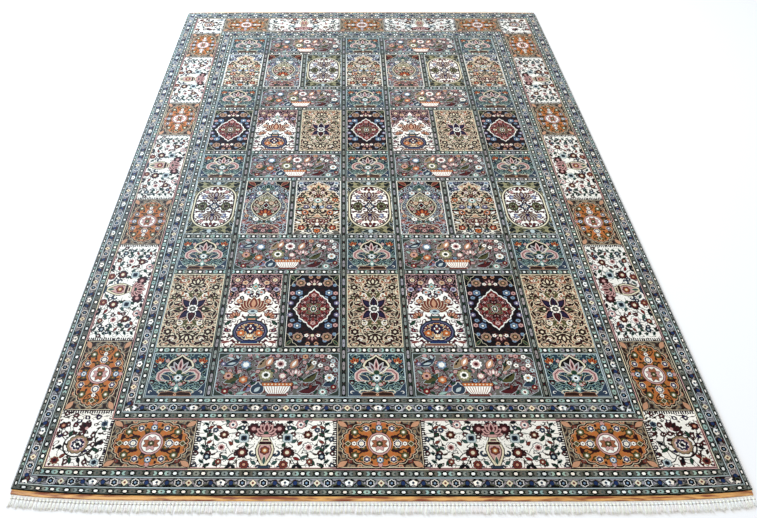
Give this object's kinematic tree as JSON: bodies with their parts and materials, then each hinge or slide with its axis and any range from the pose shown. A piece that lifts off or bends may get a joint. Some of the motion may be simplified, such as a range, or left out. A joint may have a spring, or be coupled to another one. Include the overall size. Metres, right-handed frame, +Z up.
{
  "type": "kashmir silk rug",
  "caption": "Rectangular hand-knotted silk pile rug of compartment design, flat, with plain end bands, overcast side cords and a knotted fringe at each end.",
  "frame": {"origin": "middle of the underside, on the surface that the rug lies on", "axes": "+Z up out of the pile, +Y along the rug's length towards its far end, +X across its width to the right"},
  "size_m": [1.836, 2.8074, 0.006],
  "materials": {
    "pile": "knotted silk pile in greens, blues, ivory, navy, rust and gold, with a soft sheen",
    "side_cord": "dark green silk yarn, overcast",
    "fringe": "undyed off-white cotton warp yarn, knotted"
  },
  "bodies": {
    "root": {"rug_cloth": "pile", "side_cord_left": "side_cord", "side_cord_right": "side_cord", "fringe_near": "fringe", "fringe_far": "fringe"}
  },
  "joints": []
}
